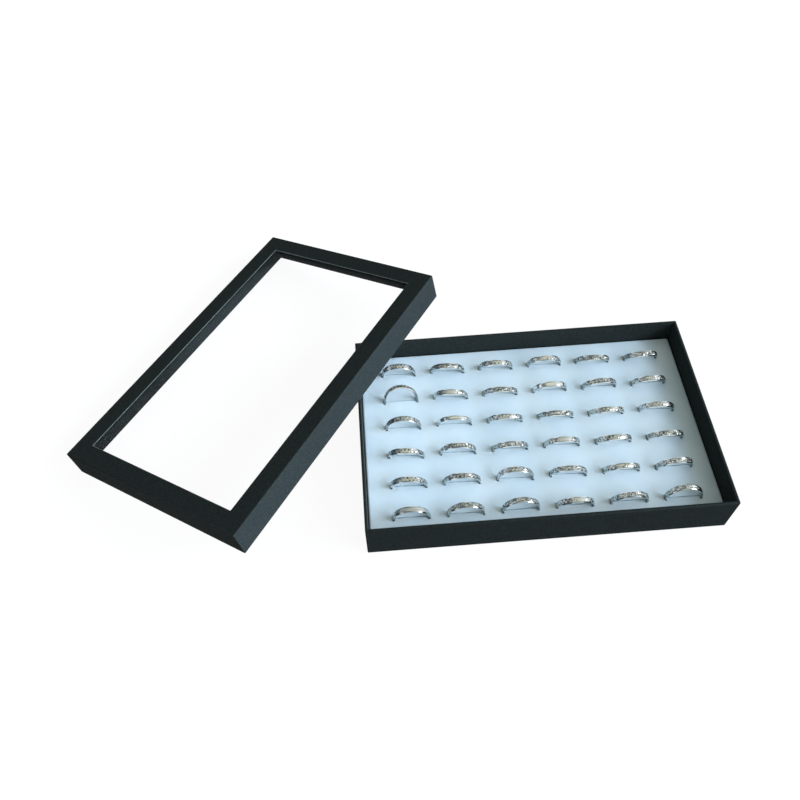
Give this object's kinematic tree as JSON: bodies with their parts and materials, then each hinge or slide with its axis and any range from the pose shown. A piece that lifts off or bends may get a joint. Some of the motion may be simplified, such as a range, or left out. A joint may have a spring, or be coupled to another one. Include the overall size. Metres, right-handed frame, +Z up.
{
  "type": "ring display box",
  "caption": "Paper-covered tray with a slit pad holding rows of finger rings, and a window lid taken off and leaning on the tray's corner.",
  "frame": {"origin": "middle of the tray's underside, on the surface it stands on", "axes": "+X along the tray's length to the right, +Y to its back, +Z up"},
  "size_m": [0.3702, 0.2425, 0.045],
  "materials": {
    "greyboard": "raw grey board",
    "gummed_tape": "brown gummed kraft tape",
    "embossed_paper": "black, embossed with a fine leather grain, low sheen",
    "lining_paper": "plain black, matt",
    "backing_card": "pale uncoated card",
    "foam": "open-cell foam",
    "flocked_cover": "short flocked pile, cool white",
    "double_sided_tape": "clear",
    "window_film": "clear and glossy",
    "ring_metal": "diamond-cut and polished"
  },
  "bodies": {
    "tray": {"tray_board": "greyboard", "tray_corner_tapes": "gummed_tape", "tray_wrap": "embossed_paper", "tray_floor_lining": "lining_paper", "tray_bottom_sheet": "lining_paper", "pad_backing_card": "backing_card", "pad_foam": "foam", "pad_cover": "flocked_cover"},
    "lid": {"lid_board": "greyboard", "lid_corner_tapes": "gummed_tape", "lid_wrap": "embossed_paper", "window_tape": "double_sided_tape", "window_film": "window_film", "lid_lining": "lining_paper"},
    "ring_r1_c1": {"ring_r1_c1": "ring_metal"},
    "ring_r1_c2": {"ring_r1_c2": "ring_metal"},
    "ring_r1_c3": {"ring_r1_c3": "ring_metal"},
    "ring_r1_c4": {"ring_r1_c4": "ring_metal"},
    "ring_r1_c5": {"ring_r1_c5": "ring_metal"},
    "ring_r1_c6": {"ring_r1_c6": "ring_metal"},
    "ring_r2_c1": {"ring_r2_c1": "ring_metal"},
    "ring_r2_c2": {"ring_r2_c2": "ring_metal"},
    "ring_r2_c3": {"ring_r2_c3": "ring_metal"},
    "ring_r2_c4": {"ring_r2_c4": "ring_metal"},
    "ring_r2_c5": {"ring_r2_c5": "ring_metal"},
    "ring_r2_c6": {"ring_r2_c6": "ring_metal"},
    "ring_r3_c1": {"ring_r3_c1": "ring_metal"},
    "ring_r3_c2": {"ring_r3_c2": "ring_metal"},
    "ring_r3_c3": {"ring_r3_c3": "ring_metal"},
    "ring_r3_c4": {"ring_r3_c4": "ring_metal"},
    "ring_r3_c5": {"ring_r3_c5": "ring_metal"},
    "ring_r3_c6": {"ring_r3_c6": "ring_metal"},
    "ring_r4_c1": {"ring_r4_c1": "ring_metal"},
    "ring_r4_c2": {"ring_r4_c2": "ring_metal"},
    "ring_r4_c3": {"ring_r4_c3": "ring_metal"},
    "ring_r4_c4": {"ring_r4_c4": "ring_metal"},
    "ring_r4_c5": {"ring_r4_c5": "ring_metal"},
    "ring_r4_c6": {"ring_r4_c6": "ring_metal"},
    "ring_r5_c1": {"ring_r5_c1": "ring_metal"},
    "ring_r5_c2": {"ring_r5_c2": "ring_metal"},
    "ring_r5_c3": {"ring_r5_c3": "ring_metal"},
    "ring_r5_c4": {"ring_r5_c4": "ring_metal"},
    "ring_r5_c5": {"ring_r5_c5": "ring_metal"},
    "ring_r5_c6": {"ring_r5_c6": "ring_metal"},
    "ring_r6_c1": {"ring_r6_c1": "ring_metal"},
    "ring_r6_c2": {"ring_r6_c2": "ring_metal"},
    "ring_r6_c3": {"ring_r6_c3": "ring_metal"},
    "ring_r6_c4": {"ring_r6_c4": "ring_metal"},
    "ring_r6_c5": {"ring_r6_c5": "ring_metal"},
    "ring_r6_c6": {"ring_r6_c6": "ring_metal"}
  },
  "joints": [
    {"name": "lid_lift", "type": "slide", "parent": "tray", "child": "lid", "axis": [0, 0, 1], "range_m": [0, 0.1]},
    {"name": "ring_r1_c1_pull", "type": "slide", "parent": "tray", "child": "ring_r1_c1", "axis": [-0.0055, -0.1563, 0.9877], "range_m": [0, 0.004]},
    {"name": "ring_r1_c2_pull", "type": "slide", "parent": "tray", "child": "ring_r1_c2", "axis": [-0.0239, -0.3412, 0.9397], "range_m": [0, 0.026]},
    {"name": "ring_r1_c3_pull", "type": "slide", "parent": "tray", "child": "ring_r1_c3", "axis": [-0.0188, -0.3579, 0.9336], "range_m": [0, 0.026]},
    {"name": "ring_r1_c4_pull", "type": "slide", "parent": "tray", "child": "ring_r1_c4", "axis": [-0.0051, -0.2923, 0.9563], "range_m": [0, 0.026]},
    {"name": "ring_r1_c5_pull", "type": "slide", "parent": "tray", "child": "ring_r1_c5", "axis": [-0.0164, -0.4692, 0.8829], "range_m": [0, 0.026]},
    {"name": "ring_r1_c6_pull", "type": "slide", "parent": "tray", "child": "ring_r1_c6", "axis": [0.0079, -0.4539, 0.891], "range_m": [0, 0.026]},
    {"name": "ring_r2_c1_pull", "type": "slide", "parent": "tray", "child": "ring_r2_c1", "axis": [0, 0.309, 0.9511], "range_m": [0, 0.026]},
    {"name": "ring_r2_c2_pull", "type": "slide", "parent": "tray", "child": "ring_r2_c2", "axis": [-0.0239, -0.3412, 0.9397], "range_m": [0, 0.026]},
    {"name": "ring_r2_c3_pull", "type": "slide", "parent": "tray", "child": "ring_r2_c3", "axis": [-0.0142, -0.4065, 0.9135], "range_m": [0, 0.026]},
    {"name": "ring_r2_c4_pull", "type": "slide", "parent": "tray", "child": "ring_r2_c4", "axis": [0, -0.309, 0.9511], "range_m": [0, 0.026]},
    {"name": "ring_r2_c5_pull", "type": "slide", "parent": "tray", "child": "ring_r2_c5", "axis": [0.0054, -0.309, 0.9511], "range_m": [0, 0.026]},
    {"name": "ring_r2_c6_pull", "type": "slide", "parent": "tray", "child": "ring_r2_c6", "axis": [0.0065, -0.3745, 0.9272], "range_m": [0, 0.026]},
    {"name": "ring_r3_c1_pull", "type": "slide", "parent": "tray", "child": "ring_r3_c1", "axis": [-0.0024, -0.0697, 0.9976], "range_m": [0, 0.026]},
    {"name": "ring_r3_c2_pull", "type": "slide", "parent": "tray", "child": "ring_r3_c2", "axis": [-0.0084, -0.2418, 0.9703], "range_m": [0, 0.026]},
    {"name": "ring_r3_c3_pull", "type": "slide", "parent": "tray", "child": "ring_r3_c3", "axis": [-0.0136, -0.3905, 0.9205], "range_m": [0, 0.026]},
    {"name": "ring_r3_c4_pull", "type": "slide", "parent": "tray", "child": "ring_r3_c4", "axis": [-0.0142, -0.4065, 0.9135], "range_m": [0, 0.026]},
    {"name": "ring_r3_c5_pull", "type": "slide", "parent": "tray", "child": "ring_r3_c5", "axis": [0, -0.4067, 0.9135], "range_m": [0, 0.026]},
    {"name": "ring_r3_c6_pull", "type": "slide", "parent": "tray", "child": "ring_r3_c6", "axis": [-0.017, -0.3251, 0.9455], "range_m": [0, 0.026]},
    {"name": "ring_r4_c1_pull", "type": "slide", "parent": "tray", "child": "ring_r4_c1", "axis": [-0.0192, -0.275, 0.9613], "range_m": [0, 0.026]},
    {"name": "ring_r4_c2_pull", "type": "slide", "parent": "tray", "child": "ring_r4_c2", "axis": [-0.0061, -0.1735, 0.9848], "range_m": [0, 0.026]},
    {"name": "ring_r4_c3_pull", "type": "slide", "parent": "tray", "child": "ring_r4_c3", "axis": [0, -0.3256, 0.9455], "range_m": [0, 0.026]},
    {"name": "ring_r4_c4_pull", "type": "slide", "parent": "tray", "child": "ring_r4_c4", "axis": [-0.0048, -0.2756, 0.9613], "range_m": [0, 0.026]},
    {"name": "ring_r4_c5_pull", "type": "slide", "parent": "tray", "child": "ring_r4_c5", "axis": [0, -0.3746, 0.9272], "range_m": [0, 0.026]},
    {"name": "ring_r4_c6_pull", "type": "slide", "parent": "tray", "child": "ring_r4_c6", "axis": [-0.0063, -0.3583, 0.9336], "range_m": [0, 0.026]},
    {"name": "ring_r5_c1_pull", "type": "slide", "parent": "tray", "child": "ring_r5_c1", "axis": [-0.0055, -0.1563, 0.9877], "range_m": [0, 0.026]},
    {"name": "ring_r5_c2_pull", "type": "slide", "parent": "tray", "child": "ring_r5_c2", "axis": [-0.0061, -0.1735, 0.9848], "range_m": [0, 0.026]},
    {"name": "ring_r5_c3_pull", "type": "slide", "parent": "tray", "child": "ring_r5_c3", "axis": [-0.0018, -0.0349, 0.9994], "range_m": [0, 0.026]},
    {"name": "ring_r5_c4_pull", "type": "slide", "parent": "tray", "child": "ring_r5_c4", "axis": [-0.0109, -0.2076, 0.9781], "range_m": [0, 0.026]},
    {"name": "ring_r5_c5_pull", "type": "slide", "parent": "tray", "child": "ring_r5_c5", "axis": [0, -0.309, 0.9511], "range_m": [0, 0.026]},
    {"name": "ring_r5_c6_pull", "type": "slide", "parent": "tray", "child": "ring_r5_c6", "axis": [0.0039, -0.2249, 0.9744], "range_m": [0, 0.026]},
    {"name": "ring_r6_c1_pull", "type": "slide", "parent": "tray", "child": "ring_r6_c1", "axis": [-0.0009, -0.0523, 0.9986], "range_m": [0, 0.026]},
    {"name": "ring_r6_c2_pull", "type": "slide", "parent": "tray", "child": "ring_r6_c2", "axis": [-0.0006, -0.0349, 0.9994], "range_m": [0, 0.026]},
    {"name": "ring_r6_c3_pull", "type": "slide", "parent": "tray", "child": "ring_r6_c3", "axis": [0, 0.0175, 0.9998], "range_m": [0, 0.026]},
    {"name": "ring_r6_c4_pull", "type": "slide", "parent": "tray", "child": "ring_r6_c4", "axis": [-0.0039, -0.2249, 0.9744], "range_m": [0, 0.026]},
    {"name": "ring_r6_c5_pull", "type": "slide", "parent": "tray", "child": "ring_r6_c5", "axis": [-0.0027, -0.1564, 0.9877], "range_m": [0, 0.026]},
    {"name": "ring_r6_c6_pull", "type": "slide", "parent": "tray", "child": "ring_r6_c6", "axis": [0.0006, 0.0349, 0.9994], "range_m": [0, 0.026]}
  ]
}
